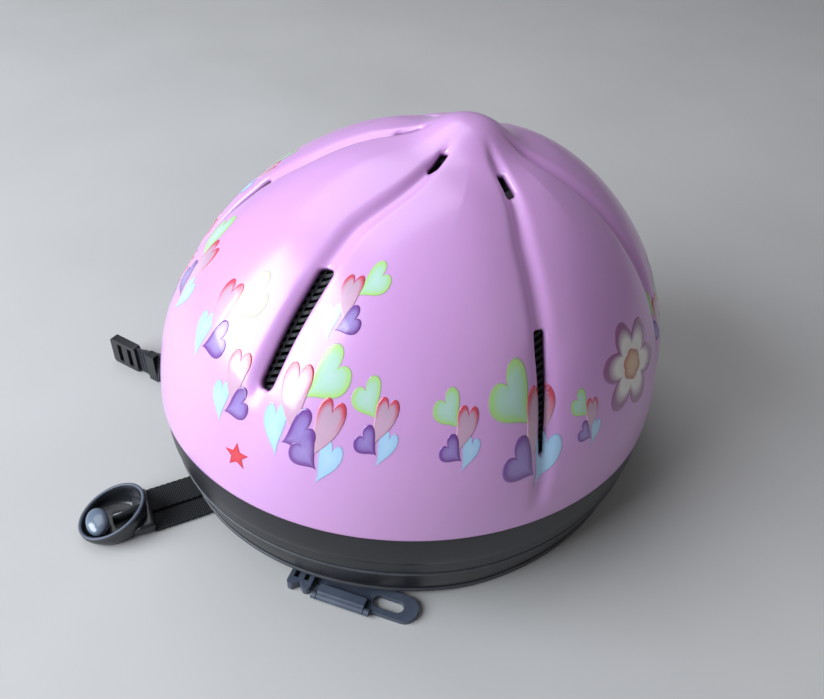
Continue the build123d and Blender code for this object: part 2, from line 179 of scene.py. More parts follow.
def rise_at(height):
    """The rise whose height above the rim plane is this."""
    return np.arcsin(np.clip(height / DOME_HEIGHT, 0, 1))


# ---- mesh helpers


def add_object(name, data):
    """An object in the scene."""
    added = bpy.data.objects.new(name, data)
    bpy.context.scene.collection.objects.link(added)
    return added


def new_object(name, points, faces, material, body="helmet", smooth_shade=True):
    """A mesh piece with one material, riding on a body."""
    mesh = bpy.data.meshes.new(name)
    mesh.from_pydata([tuple(p) for p in np.asarray(points, float)], [], faces)
    mesh.validate()
    mesh.polygons.foreach_set("use_smooth", [smooth_shade] * len(mesh.polygons))
    mesh.materials.append(material)
    mesh.update()
    piece = add_object(name, mesh)
    if body:
        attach(piece, body)
    return piece


def add_values(piece, **measures):
    """Named numbers on a piece's points, which its material reads."""
    for label, values in measures.items():
        attribute = piece.data.attributes.new(label, "FLOAT", "POINT")
        attribute.data.foreach_set("value", np.asarray(values, np.float32))


def grid_faces(rows, columns, keep=None, wrap=True):
    """Quads of a grid of points, row by row. keep says which cells stay."""
    faces = []
    last = columns if wrap else columns - 1
    for row in range(rows - 1):
        for column in range(last):
            if keep is None or keep[row, column]:
                right = (column + 1) % columns
                faces.append(
                    (row * columns + column, row * columns + right,
                     (row + 1) * columns + right, (row + 1) * columns + column)
                )
    return faces


def tube_faces(rings, turns):
    """Quads of a stack of rings, with its first and last rings closed."""
    faces = grid_faces(rings, turns)
    faces.append(tuple(reversed(range(turns))))
    faces.append(tuple((rings - 1) * turns + k for k in range(turns)))
    return faces


def closed_shell(outer, inner, rows, columns, keep, top_outer, top_inner):
    """A closed wall between two grids of points that wrap round, each with a point at its crown."""
    count = rows * columns
    points = np.concatenate([outer.reshape(-1, 3), inner.reshape(-1, 3), [top_outer], [top_inner]])
    outer_faces = grid_faces(rows, columns, keep)
    faces = list(outer_faces)
    faces += [tuple(count + i for i in reversed(face)) for face in outer_faces]
    edges = {}
    for face in outer_faces:
        for a, b in zip(face, face[1:] + face[:1]):
            if (b, a) in edges:
                del edges[(b, a)]
            else:
                edges[(a, b)] = True
    crown_start = (rows - 1) * columns
    for column in range(columns):
        a, b = crown_start + column, crown_start + (column + 1) % columns
        faces.append((a, b, 2 * count))
        faces.append((count + b, count + a, 2 * count + 1))
        edges.pop((b, a), None)
    faces += [(b, a, count + a, count + b) for a, b in edges]
    return points, faces


# ---- materials


def node_material(name):
    """A new material, with its nodes, its links and its shader."""
    material = bpy.data.materials.new(name)
    material.use_nodes = True
    nodes = material.node_tree.nodes
    return material, nodes, material.node_tree.links, nodes["Principled BSDF"]


def noise(nodes, links, scale, detail=3.0):
    """Noise over the object's own coordinates."""
    place = nodes.new("ShaderNodeTexCoord")
    texture = nodes.new("ShaderNodeTexNoise")
    texture.inputs["Scale"].default_value = scale
    texture.inputs["Detail"].default_value = detail
    links.new(place.outputs["Object"], texture.inputs["Vector"])
    return texture.outputs["Fac"]


def ramp(nodes, links, source, stops):
    """A colour ramp. A stop is a position and a colour."""
    node = nodes.new("ShaderNodeValToRGB")
    node.color_ramp.elements[0].position = stops[0][0]
    node.color_ramp.elements[0].color = (*stops[0][1], 1)
    node.color_ramp.elements[1].position = stops[-1][0]
    node.color_ramp.elements[1].color = (*stops[-1][1], 1)
    for position, colour in stops[1:-1]:
        element = node.color_ramp.elements.new(position)
        element.color = (*colour, 1)
    links.new(source, node.inputs["Fac"])
    return node.outputs["Color"]


def spread(nodes, links, source, low, high, start=0.0, stop=1.0):
    """Maps a span, 0 to 1 unless it is given, onto a range."""
    node = nodes.new("ShaderNodeMapRange")
    node.inputs["From Min"].default_value = start
    node.inputs["From Max"].default_value = stop
    node.inputs["To Min"].default_value = low
    node.inputs["To Max"].default_value = high
    links.new(source, node.inputs["Value"])
    return node.outputs["Result"]


def point_value(nodes, name):
    """A number that the piece's points carry."""
    node = nodes.new("ShaderNodeAttribute")
    node.attribute_name = name
    return node.outputs["Fac"]


def calculate(nodes, links, operation, *values):
    """A sum on sockets and plain numbers."""
    node = nodes.new("ShaderNodeMath")
    node.operation = operation
    for index, value in enumerate(values):
        if isinstance(value, float):
            node.inputs[index].default_value = value
        else:
            links.new(value, node.inputs[index])
    return node.outputs[0]


def mix(nodes, links, factor, first, second, blend="MIX"):
    """Two colours put together."""
    node = nodes.new("ShaderNodeMix")
    node.data_type = "RGBA"
    node.blend_type = blend
    for label, value in (("Factor", factor), ("A", first), ("B", second)):
        if isinstance(value, (float, tuple)):
            node.inputs[label].default_value = value
        else:
            links.new(value, node.inputs[label])
    return node.outputs["Result"]


def bump(nodes, links, source, strength, distance, shader):
    """Adds a bump from a height."""
    node = nodes.new("ShaderNodeBump")
    node.inputs["Strength"].default_value = strength
    node.inputs["Distance"].default_value = distance
    links.new(source, node.inputs["Height"])
    links.new(node.outputs["Normal"], shader.inputs["Normal"])


def mottled(name, dark, light, scale, rough, bump_scale=0.0, bump_depth=0.0, coat=0.0, sheen=0.0,
            coat_rough=0.1, edge_round=0.0):
    """Moulded plastic, rubber or foam: uneven colour, uneven gloss and a fine grain."""
    material, nodes, links, shader = node_material(name)
    grain = noise(nodes, links, scale)
    links.new(ramp(nodes, links, grain, ((0.3, dark), (0.7, light))), shader.inputs["Base Color"])
    links.new(spread(nodes, links, grain, rough[0], rough[1]), shader.inputs["Roughness"])
    shader.inputs["Coat Weight"].default_value = coat
    shader.inputs["Coat Roughness"].default_value = coat_rough
    shader.inputs["Sheen Weight"].default_value = sheen
    if edge_round:
        rounding = nodes.new("ShaderNodeBevel")
        rounding.inputs["Radius"].default_value = edge_round
        links.new(rounding.outputs["Normal"], shader.inputs["Normal"])
    elif bump_depth:
        bump(nodes, links, noise(nodes, links, bump_scale, detail=2.0), 0.5, bump_depth, shader)
    return material


THREAD_PITCH = 1.1 * MM


def webbing(name, dark, light, rib_pitch):
    """Ribbed weave, read from the piece's own along and across measures, with painted shade in its grooves
    and a painted highlight on its ribs.
    """
    material, nodes, links, shader = node_material(name)
    waves = []
    for label, pitch in (("along", rib_pitch), ("across", THREAD_PITCH)):
        scaled = calculate(nodes, links, "MULTIPLY", point_value(nodes, label), 2 * math.pi / pitch)
        waves.append(calculate(nodes, links, "SINE", scaled))
    threads = calculate(nodes, links, "MULTIPLY", waves[1], 0.3)
    weave = calculate(nodes, links, "MULTIPLY_ADD", waves[0], 0.7, threads)
    height = spread(nodes, links, weave, 0.0, 1.0, start=-1.0)
    # Painted shade and highlight: the colour follows the weave's height, darker in its grooves and lighter
    # on its ribs
    links.new(ramp(nodes, links, height, ((0.0, dark), (1.0, light))), shader.inputs["Base Color"])
    shader.inputs["Roughness"].default_value = 0.62
    shader.inputs["Sheen Weight"].default_value = 0.08
    shader.inputs["Specular IOR Level"].default_value = 0.3
    shader.inputs["Sheen Roughness"].default_value = 0.4
    bump(nodes, links, height, 0.8, 0.0004, shader)
    return material


def print_ink(name, rim_colour, body_colour, middle_colour, lines=0.0, top=0.0, soft=0.0):
    """Printed motif: a coloured rim round a paler middle, with optional hatching or a soft edge."""
    material, nodes, links, shader = node_material(name)
    inward = point_value(nodes, "inward")
    colour = ramp(nodes, links, inward,
                  ((0.0, middle_colour), (0.60, body_colour), (0.86, rim_colour), (1.0, rim_colour)))
    if lines:
        place = nodes.new("ShaderNodeTexCoord")
        wave = nodes.new("ShaderNodeTexWave")
        wave.bands_direction = "Z"
        wave.inputs["Scale"].default_value = lines
        wave.inputs["Distortion"].default_value = 1.5
        wave.inputs["Detail Scale"].default_value = 40
        links.new(place.outputs["Object"], wave.inputs["Vector"])
        colour = mix(nodes, links, 0.3, colour, wave.outputs["Color"], blend="MULTIPLY")
    if top:
        fade = spread(nodes, links, point_value(nodes, "upward"), top, 0.0, start=0.35, stop=0.72)
        colour = mix(nodes, links, fade, colour, (*body_colour, 1.0))
    links.new(colour, shader.inputs["Base Color"])
    if soft:
        edge = spread(nodes, links, inward, 0.92, 0.0, start=1 - soft)
        links.new(edge, shader.inputs["Alpha"])
    shader.inputs["Roughness"].default_value = 0.22
    shader.inputs["Coat Weight"].default_value = 0.7
    shader.inputs["Coat Roughness"].default_value = 0.07
    return material


def pink_gloss():
    """Glossy moulded pink, a little deeper here and there, with faint handling marks."""
    material, nodes, links, shader = node_material("pink_gloss")
    cloud = noise(nodes, links, 9.0, detail=2.0)
    links.new(ramp(nodes, links, cloud, ((0.3, (0.60, 0.31, 0.64)), (0.7, (0.645, 0.345, 0.68)))),
              shader.inputs["Base Color"])
    marks = noise(nodes, links, 22.0, detail=4.0)
    links.new(spread(nodes, links, marks, 0.24, 0.36), shader.inputs["Roughness"])
    shader.inputs["Coat Weight"].default_value = 0.5
    shader.inputs["Coat Roughness"].default_value = 0.18
    shader.inputs["Subsurface Weight"].default_value = 0.08
    shader.inputs["Subsurface Scale"].default_value = 0.004
    bump(nodes, links, noise(nodes, links, 260.0, detail=2.0), 0.12, 0.00008, shader)
    return material


PINK = pink_gloss()
BAND = mottled("band_satin", (0.006, 0.006, 0.009), (0.013, 0.013, 0.018), 40, (0.32, 0.48),
               bump_scale=900, bump_depth=0.00006, coat=0.15, coat_rough=0.3)
TRIM = mottled("trim_rubber", (0.03, 0.03, 0.033), (0.055, 0.055, 0.06), 60, (0.5, 0.65),
               bump_scale=900, bump_depth=0.00005)
PIPING = mottled("band_lip", (0.040, 0.042, 0.050), (0.065, 0.069, 0.080), 80, (0.42, 0.55),
                 bump_scale=900, bump_depth=0.00005)
FOAM = mottled("eps_beads", (0.010, 0.010, 0.012), (0.035, 0.035, 0.038), 260, (0.75, 0.9),
               bump_scale=300, bump_depth=0.0006)
NET = mottled("vent_net", (0.008, 0.009, 0.011), (0.02, 0.022, 0.026), 300, (0.45, 0.6))
HARDWARE = mottled("hardware_nylon", (0.050, 0.062, 0.090), (0.075, 0.092, 0.130), 70, (0.38, 0.5),
                   edge_round=0.0005)
BUCKLE = mottled("buckle_black", (0.008, 0.009, 0.011), (0.018, 0.020, 0.024), 90, (0.25, 0.4),
                 coat=0.3, bump_scale=800, bump_depth=0.00003)
BUTTON = mottled("button_gloss", (0.10, 0.13, 0.18), (0.14, 0.18, 0.24), 60, (0.18, 0.26), coat=0.8)
PADDING = mottled("pad_knit", (0.02, 0.02, 0.025), (0.05, 0.05, 0.058), 500, (0.85, 0.95),
                  bump_scale=1400, bump_depth=0.0004, sheen=0.5)
# Both webbings carry painted shade in their grooves and a painted highlight on their ribs
WEBBING = webbing("webbing_ribbed", (0.006, 0.007, 0.010), (0.035, 0.038, 0.048), 0.0021)
CHIN_WEBBING = webbing("chin_webbing", (0.005, 0.005, 0.007), (0.012, 0.012, 0.015), 0.0009)


# ---- outer shell


def all_openings():
    """Every vent: azimuth, lowest and highest rise, half width low and high."""
    found = []
    for place, low, high, narrow, wide in SLOTS:
        for side in both_sides(place):
            found.append((side, float(rise_at(low)), float(rise_at(high)), narrow, wide))
    for place, near, far, half in CROWN_VENTS:
        for side in both_sides(place):
            reach = float(rim_reach(np.radians(side)))
            found.append((side, math.acos(far / reach), math.acos(near / reach), half, half))
    return found


OPENINGS = all_openings()


def across_opening(azimuth, rise, opening):
    """Where points lie on an opening.

    Gives how far across it they are, the ring's radius, the opening's half width there, how far
    past its ends they are, whether they are between its ends, and whether they are near it.
    """
    side, low, high, narrow, wide = opening
    radius = rim_reach(azimuth) * np.cos(rise) + 1e-5
    apart = turn_between(azimuth, math.radians(side))
    along = (rise - low) / (high - low)
    length = (high - low) * DOME_HEIGHT
    half = narrow + (wide - narrow) * np.clip(along, 0, 1)
    end = np.clip(np.minimum(along, (1 - along) * 1.5) * length / half / 1.4, 0, 1)
    inside = (along >= 0) & (along <= 1)
    opened = np.where(inside, np.maximum(half * np.sqrt(1 - (1 - end) ** 2), 0.1 * MM), 0)
    beyond = np.maximum(np.maximum(low - rise, rise - high), 0) * DOME_HEIGHT
    return apart * radius, radius, opened, beyond, inside, np.abs(apart) < 1.0


def lip_sink(azimuth, rise):
    """How far the rounded lips of the vents drop below the shell's surface."""
    lip = np.zeros_like(azimuth)
    for opening in OPENINGS:
        across, _, opened, beyond, _, near = across_opening(azimuth, rise, opening)
        distance = np.hypot(np.maximum(np.abs(across) - opened, 0), beyond)
        lip = np.maximum(lip, np.where(near, np.clip(LIP_RADIUS - distance, 0, LIP_RADIUS), 0))
    return LIP_RADIUS - np.sqrt(LIP_RADIUS**2 - lip**2)


def build_shell():
    """The pink shell: gores, valleys, rounded vents and a rolled rim, as one closed wall."""
    columns, rows = 720, 220
    azimuth = np.radians((np.arange(columns) + 0.5) * 360 / columns)
    rise = np.linspace(0, math.radians(89.3), rows)
    azimuths, rises = np.meshgrid(azimuth, rise)
    keep = np.ones((rows - 1, columns), bool)
    shifted = azimuths.copy()
    for opening in OPENINGS:
        side, low, high, narrow, wide = opening
        across, radius, opened, _, inside, near = across_opening(azimuths, rises, opening)
        influence = 4.2 * max(narrow, wide)
        fade = np.clip(1 - np.abs(across) / influence, 0, 1) ** 2
        shifted += np.where(near, np.sign(across) * opened * fade / radius, 0)
        column = int(round((side % 360) * columns / 360)) - 1
        keep[:, column] &= ~(inside[:-1, column] & inside[1:, column])
    rim = np.clip(LIP_RADIUS - rises * DOME_HEIGHT, 0, LIP_RADIUS)
    sink = lip_sink(shifted, rises) + LIP_RADIUS - np.sqrt(LIP_RADIUS**2 - rim**2)
    outer = shell_point(shifted, rises, -sink)
    inner = shell_point(shifted, rises, -SHELL_WALL)
    top = shell_point(np.array([0.0]), np.array([math.pi / 2 - 1e-4]))[0]
    down = np.array([0, math.sin(RIM_TILT), math.cos(RIM_TILT)]) * SHELL_WALL
    points, faces = closed_shell(outer, inner, rows, columns, keep, top, top - down)
    piece = new_object("shell", points, faces, PINK)
    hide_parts("outer_shell")


build_shell()


# ---- rim band and edge trim

# Band profile: share of the way down, and how far it is in from the shell's edge
BAND_PROFILE = (
    (-0.06, 4.2), (0.0, 1.9), (0.03, 1.5), (0.16, 1.0), (0.32, 1.2), (0.375, 1.5), (0.39, 2.5), (0.42, 2.6),
    (0.50, 2.9), (0.575, 3.5), (0.59, 4.5), (0.62, 4.7), (0.74, 5.6), (0.84, 6.6), (0.92, 7.9), (0.96, 8.8),
)
BAND_FOOT = 10.0
BAND_WALL = 3.6


def brow_rise(y):
    """How far the rim's foot is off the ground."""
    ahead = -y - BROW_START
    return BROW_SLOPE * (ahead + np.sqrt(ahead**2 + BROW_SOFTNESS**2)) / 2


def band_point(azimuth, share, inset):
    """A point on the band: share 0 at the shell's edge, 1 at the foot."""
    x = (HALF_WIDTH - inset) * np.cos(azimuth)
    y = (HALF_LENGTH - inset) * np.sin(azimuth)
    top = lean(x, y, np.zeros_like(x))
    foot = brow_rise(y)
    height = top[..., 2] * (1 - share) + foot * share
    return np.stack([x, top[..., 1] * (1 - share) + y * share, height], axis=-1)


def ring_band(name, outline, material, node, columns=360):
    """A closed ring from an outline of (share, inset in mm) that runs round its section."""
    azimuth = np.radians(np.arange(columns) * 360 / columns)
    rows = [band_point(azimuth, share, inset * MM) for share, inset in outline]
    points = np.concatenate(rows)
    count = len(outline)
    faces = []
    for row in range(count):
        below = (row + 1) % count
        for column in range(columns):
            right = (column + 1) % columns
            faces.append((below * columns + column, below * columns + right,
                          row * columns + right, row * columns + column))
    piece = new_object(name, points, faces, material)
    if node:
        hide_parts(node)
    return piece


def build_band():
    """The black band, with its moulded steps, and the trim along its foot."""
    outline = [*BAND_PROFILE]
    outline += [(share, inset + BAND_WALL) for share, inset in reversed(BAND_PROFILE[1:])]
    band = ring_band("rim_band_shell", outline, BAND, "rim_band")
    bevel = band.modifiers.new("round", "SUBSURF")
    bevel.levels = 1
    bevel.render_levels = 1
    trim = [
        (0.945, BAND_FOOT - 1.6), (0.952, BAND_FOOT - 2.3), (0.972, BAND_FOOT - 2.6),
        (0.990, BAND_FOOT - 2.1), (1.0, BAND_FOOT - 1.0), (1.0, BAND_FOOT + 3.0), (0.95, BAND_FOOT + 3.0),
    ]
    ring_band("edge_trim_bead", trim, TRIM, "edge_trim")
    for name, share, inset in (("upper_lip", 0.588, 3.8), ("lower_lip", 0.955, BAND_FOOT - 1.9)):
        lip = [(share + 0.018 * math.sin(t), inset - 0.75 * math.cos(t)) for t in np.linspace(0, 5.5, 8)]
        ring_band(name, list(reversed(lip)), PIPING, None)


build_band()


# ---- prints

PRINT_RINGS = 12


def heart_outline(turns=60, tail=0.0):
    """A heart about one unit wide with its point down. A tail draws the point out."""
    angle = np.linspace(0, 2 * math.pi, turns, endpoint=False)
    x = 16 * np.sin(angle) ** 3
    y = 13 * np.cos(angle) - 5 * np.cos(2 * angle) - 2 * np.cos(3 * angle) - np.cos(4 * angle)
    x, y = x / 32, y / 32
    return x, np.where(y < 0, y * (1 + tail), y)


def petal_outline(petals, depth, turns=100):
    """A round-tipped star or flower, one unit wide."""
    angle = np.linspace(0, 2 * math.pi, turns, endpoint=False)
    radius = 0.5 * (1 - depth + depth * np.abs(np.cos(petals * angle / 2)) ** 0.8)
    return radius * np.sin(angle), radius * np.cos(angle)


def star_outline(points=5, waist=0.45, turns=100):
    """A straight-edged star, one unit wide."""
    angle = np.linspace(0, 2 * math.pi, turns, endpoint=False)
    tips = np.linspace(0, 2 * math.pi, 2 * points + 1)
    reach = np.where(np.arange(2 * points + 1) % 2 == 0, 0.5, 0.5 * waist)
    x = np.interp(angle, tips, reach * np.sin(tips))
    y = np.interp(angle, tips, reach * np.cos(tips))
    return x, y


def laid_on_shell(azimuth_deg, height, across, up):
    """Azimuths and rises of points given by how far across and up they are from a place."""
    base = float(rise_at(height))
    azimuth = math.radians(azimuth_deg)
    radius = float(rim_reach(azimuth)) * math.cos(base)
    return azimuth + across / radius, np.clip(base + up / DOME_HEIGHT, 0.01, math.pi / 2 - 0.02)


def print_motifs(name, motifs, outline, material, lift, drawn=(1.0, 1.0)):
    """Motifs of one ink as thin film on the shell, cut away at the vents.

    A motif is azimuth, height, width, stretch, turn in degrees, and bend of its point. The film
    is drawn out by so much across and up the shell.
    """
    x, y = outline
    turns = len(x)
    azimuths, rises, inward, upward, faces = [], [], [], [], []
    shares = [*np.linspace(0.06, 1, PRINT_RINGS), 1.02]
    for azimuth_deg, height, width, stretch, turn, bend in motifs:
        start = len(azimuths)
        c, s = math.cos(math.radians(turn)), math.sin(math.radians(turn))
        for share in shares:
            px, py = x * width * share, y * width * stretch * share
            px = px + bend * np.minimum(py / width, 0) ** 2 * width
            azimuth, rise = laid_on_shell(azimuth_deg, height, (px * c - py * s) * drawn[0],
                                          (px * s + py * c) * drawn[1])
            azimuths.extend(azimuth)
            rises.extend(rise)
            inward.extend([share] * turns)
            upward.extend(np.clip(y * share + 0.5, 0, 1))
        for index in range(len(shares) - 1):
            for k in range(turns):
                right = (k + 1) % turns
                a, b = start + index * turns, start + (index + 1) * turns
                faces.append((a + k, a + right, b + right, b + k))
        faces.append(tuple(start + k for k in reversed(range(turns))))
    azimuth, rise = np.array(azimuths), np.array(rises)
    side = np.zeros(len(azimuth))
    for opening in OPENINGS:
        across, radius, opened, _, inside, near = across_opening(azimuth, rise, opening)
        over = inside & near & (np.abs(across) < opened)
        moved = np.where(across < 0, -1, 1) * opened
        azimuth = np.where(over, azimuth + (moved - across) / radius, azimuth)
        side = np.where(over, np.where(across < 0, -1, 1), side)
    faces = [face for face in faces if len({side[i] for i in face if side[i]}) < 2]
    buried = np.array(inward) > 1.01
    stand_off = np.where(buried, -0.15 * MM, lift) - lip_sink(azimuth, rise)
    piece = new_object(name, shell_point(azimuth, rise, stand_off), faces, material)
    add_values(piece, inward=inward, upward=upward)


ALL_INKS = ("green", "red", "purple", "blue")
NO_GREEN = ALL_INKS[1:]
# Clusters of hearts: azimuth, height above the rim plane, size, way round, and their inks
CLUSTERS = (
    (-53.6, 95.0, 0.95, -1, ALL_INKS),
    (-55.8, 59.5, 1.42, -1, ALL_INKS),
    (-53.0, 51.5, 1.30, 1, NO_GREEN),
    (-42.3, 58.5, 1.00, 1, ALL_INKS),
    (-25.8, 57.0, 0.98, 1, ALL_INKS),
    (-9.4, 53.5, 1.72, 1, ALL_INKS),
    (7.2, 50.0, 0.80, 1, ALL_INKS),
    (-79.5, 73.0, 1.30, -1, ALL_INKS),
    (-69.3, 56.0, 1.15, -1, NO_GREEN),
    (52.0, 58.0, 1.00, 1, ALL_INKS),
    (66.0, 54.0, 1.62, 1, ALL_INKS),
    (81.0, 58.0, 1.00, 1, ALL_INKS),
)
# One cluster: ink, place across and up, width, stretch, turn, and bend of the point, for size 1
CLUSTER = {
    "green": (-4.4, 8.6, 15.0, 1.12, 40, 0.1),
    "red": (4.2, 2.6, 11.6, 1.40, -6, -0.35),
    "purple": (-1.2, -9.2, 11.4, 1.12, 52, 0.1),
    "blue": (6.8, -9.4, 10.4, 1.35, -14, -0.2),
}
# How far the point of each heart is drawn out
TAILS = {"green": 0.15, "red": 0.75, "purple": 0.15, "blue": 0.35}
INKS = {
    "green": print_ink("ink_green", (0.42, 0.70, 0.22), (0.44, 0.70, 0.52), (0.50, 0.72, 0.66), soft=0.10),
    "blue": print_ink("ink_blue", (0.40, 0.64, 0.88), (0.42, 0.66, 0.90), (0.48, 0.70, 0.92), soft=0.16),
    "red": print_ink("ink_red", (0.66, 0.07, 0.12), (0.58, 0.36, 0.50), (0.52, 0.38, 0.50),
                     lines=700, top=0.9),
    "purple": print_ink("ink_purple", (0.20, 0.06, 0.34), (0.32, 0.20, 0.55), (0.38, 0.27, 0.66), lines=900),
}
# How far each ink stands off the shell in millimetres, and how the hearts are drawn out across and up
LIFTS = {"green": 0.10, "blue": 0.12, "red": 0.14, "purple": 0.16}
HEART_DRAWN = (0.76, 1.20)
STAR_AZIMUTH = -66.5
FLOWER_AZIMUTH = 26
FLOWER_HEIGHT = 60 * MM


def build_prints():
    """Every heart cluster on both sides, a small star by each front vent, and a flower on each flank."""
    for ink, material in INKS.items():
        motifs = []
        across, up, width, stretch, turn, bend = CLUSTER[ink]
        for azimuth_deg, height, size, facing, inks in CLUSTERS:
            if ink not in inks:
                continue
            for place, mirror in zip(both_sides(azimuth_deg), (1, -1)):
                way = facing * mirror
                base = float(rise_at(height * MM))
                radius = float(rim_reach(math.radians(place))) * math.cos(base)
                shift = math.degrees(way * across * size * MM / radius)
                motifs.append((place + shift, (height + up * size * math.cos(base * 0.9)) * MM,
                               width * size * MM, stretch, turn * way, bend * way))
        outline = heart_outline(tail=TAILS[ink])
        print_motifs(f"print_{ink}", motifs, outline, material, LIFTS[ink] * MM, HEART_DRAWN)
    stars = [(place, 24 * MM, 13 * MM, 1.0, 8, 0.0) for place in both_sides(STAR_AZIMUTH)]
    print_motifs("print_star", stars, star_outline(), STAR_INK, 0.10 * MM)
    flowers = [(place, FLOWER_HEIGHT, 45 * MM, 1.0, 14, 0.0) for place in both_sides(FLOWER_AZIMUTH)]
    print_motifs("print_flower", flowers, petal_outline(6, 0.42), FLOWER_INK, 0.10 * MM)
    centres = [(place, FLOWER_HEIGHT, 15 * MM, 1.0, 0, 0.0) for place in both_sides(FLOWER_AZIMUTH)]
    print_motifs("print_flower_heart", centres, petal_outline(6, 0.15), CENTRE_INK, 0.16 * MM)


STAR_INK = print_ink("ink_star", (0.55, 0.02, 0.04), (0.60, 0.03, 0.05), (0.62, 0.05, 0.07))
FLOWER_INK = print_ink("ink_flower", (0.30, 0.10, 0.26), (0.80, 0.76, 0.72), (0.74, 0.64, 0.62))
CENTRE_INK = print_ink("ink_centre", (0.45, 0.18, 0.10), (0.62, 0.36, 0.20), (0.68, 0.46, 0.28))
build_prints()


# ---- vent net

NET_INSET = 4.0 * MM
NET_PITCH = 3.6 * MM
NET_MARGIN = 2.5 * MM
NET_SLANT = 0.55


def build_net(name, node, place, low, high, half):
    """Slanting ribs across a vent, over two lengthwise bars, just under the shell."""
    points, faces = [], []

    def bar(azimuth, rise, width, wall):
        """A flat bar along a run of places on the shell."""
        centre = shell_point(azimuth, rise, -NET_INSET)
        normal = base_normal(azimuth, rise)
        along = np.gradient(centre, axis=0)
        side = np.cross(normal, along)
        side /= np.linalg.norm(side, axis=1, keepdims=True)
        start = len(points)
        count = len(centre)
        for a, b in ((-1, -1), (1, -1), (0.7, 1), (-0.7, 1)):
            points.extend(centre + side * a * width / 2 + normal * b * wall / 2)
        for k in range(count - 1):
            for row in range(4):
                a, b = start + row * count + k, start + ((row + 1) % 4) * count + k
                faces.append((a, a + 1, b + 1, b))
        faces.append(tuple(start + row * count for row in range(4)))
        faces.append(tuple(start + row * count + count - 1 for row in reversed(range(4))))

    for side in both_sides(place):
        base = float(rise_at(low)) - NET_MARGIN / DOME_HEIGHT
        top = float(rise_at(high)) + NET_MARGIN / DOME_HEIGHT
        azimuth = math.radians(side)
        for rise in np.arange(base, top, NET_PITCH / DOME_HEIGHT):
            across = np.linspace(-half, half, 7)
            radius = float(rim_reach(azimuth)) * math.cos(rise)
            bar(azimuth + across / radius, rise + NET_SLANT * across / DOME_HEIGHT, 2.0 * MM, 1.1 * MM)
        for lane in (-0.45, 0.45):
            rises = np.linspace(base, top, 30)
            radius = rim_reach(azimuth) * np.cos(rises)
            bar(azimuth + lane * half / radius, rises, 1.1 * MM, 0.8 * MM)
    piece = new_object(name, points, faces, NET, smooth_shade=False)
    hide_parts(node)


build_net("front_vent_net", "front_vent_mesh", *SLOTS[0][:3], 6.2 * MM)
build_net("side_vent_net", "side_vent_mesh", *SLOTS[1][:3], 5.4 * MM)


# ---- comfort pads

CAVITY_IN = 30.4 * MM
PAD_WALL = 7.0 * MM


def cavity_point(azimuth, height, inset):
    """A point on the cavity wall, at a height above the ground."""
    rim = RIM_HEIGHT - (HALF_LENGTH - inset) * np.sin(azimuth) * math.tan(RIM_TILT)
    up = np.clip((height - rim) / (DOME_HEIGHT - inset), 0, 0.98)
    share = np.sqrt(1 - up**2)
    x = (HALF_WIDTH - inset) * share * np.cos(azimuth)
    y = (HALF_LENGTH - inset) * share * np.sin(azimuth) + CROWN_SHIFT * (1 - share)
    return np.stack([x, y, height], axis=-1)


def pad_piece(name, node, back, front, rows, columns):
    """A closed pad from its two faces, which meet along the edge."""
    count = rows * columns
    points = np.concatenate([back.reshape(-1, 3), front.reshape(-1, 3)])
    faces = [tuple(reversed(face)) for face in grid_faces(rows, columns, wrap=False)]
    faces += [tuple(count + i for i in face) for face in grid_faces(rows, columns, wrap=False)]
    ring = list(range(columns))
    ring += [row * columns + columns - 1 for row in range(1, rows)]
    ring += [(rows - 1) * columns + k for k in range(columns - 2, -1, -1)]
    ring += [row * columns for row in range(rows - 2, 0, -1)]
    for a, b in zip(ring, ring[1:] + ring[:1]):
        faces.append((a, b, count + b, count + a))
    piece = new_object(name, points, faces, PADDING)
    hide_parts(node)


def puff(u, v, seams):
    """Thickness share of a pad: full in the middle, thin at the bound edge, and drawn in at seams."""
    edge = np.clip(1 - np.abs(u) ** 8, 0, 1) ** 0.5 * np.clip(1 - np.abs(v) ** 6, 0, 1) ** 0.5
    binding = 0.28 * np.exp(-(((np.maximum(np.abs(u), np.abs(v)) - 0.93) / 0.03) ** 2))
    drawn = sum(np.exp(-(((u - seam) / 0.05) ** 2)) for seam in seams)
    return np.clip(edge * (1 - 0.35 * drawn) - binding, 0.12, 1)


def build_wall_pad(name, node, middle, half_turn, low, high, seams):
    """A pad on the cavity wall, over a spread of azimuths and between two heights."""
    rows, columns = 34, 90
    u, v = np.meshgrid(np.linspace(-1, 1, columns), np.linspace(-1, 1, rows))
    corner = 1 - 0.10 * np.abs(v) ** 6
    azimuth = np.radians(middle) + np.radians(half_turn) * u * corner
    height = (low + high) / 2 * MM + (high - low) / 2 * MM * v * (1 - 0.12 * np.abs(u) ** 6)
    back = cavity_point(azimuth, height, CAVITY_IN)
    front = cavity_point(azimuth, height, CAVITY_IN + PAD_WALL * puff(u, v, seams))
    pad_piece(name, node, back, front, rows, columns)


def build_crown_pad():
    """The oval pad at the top of the cavity."""
    rows, columns = 40, 40
    u, v = np.meshgrid(np.linspace(-1, 1, columns), np.linspace(-1, 1, rows))
    half_width, half_length, seam = 30 * MM, 38 * MM, 2 * MM
    x = half_width * u * np.sqrt(1 - v**2 / 2)
    y = half_length * v * np.sqrt(1 - u**2 / 2)
    radial = np.clip(np.hypot(x / half_width, y / half_length), 0, 1)
    seams = np.exp(-((x / seam) ** 2)) + np.exp(-((y / seam) ** 2))
    share = np.clip((1 - radial**6) ** 0.5 * (1 - 0.3 * np.clip(seams, 0, 1)), 0.12, 1)
    faces = []
    for inset in (CAVITY_IN + 0 * share, CAVITY_IN + PAD_WALL * share):
        up = np.sqrt(1 - (x / (HALF_WIDTH - inset)) ** 2 - (y / (HALF_LENGTH - inset)) ** 2)
        faces.append(lean(x, CROWN_SHIFT + y, (DOME_HEIGHT - inset) * up))
    pad_piece("crown_cushion", "crown_pad", *faces, rows, columns)


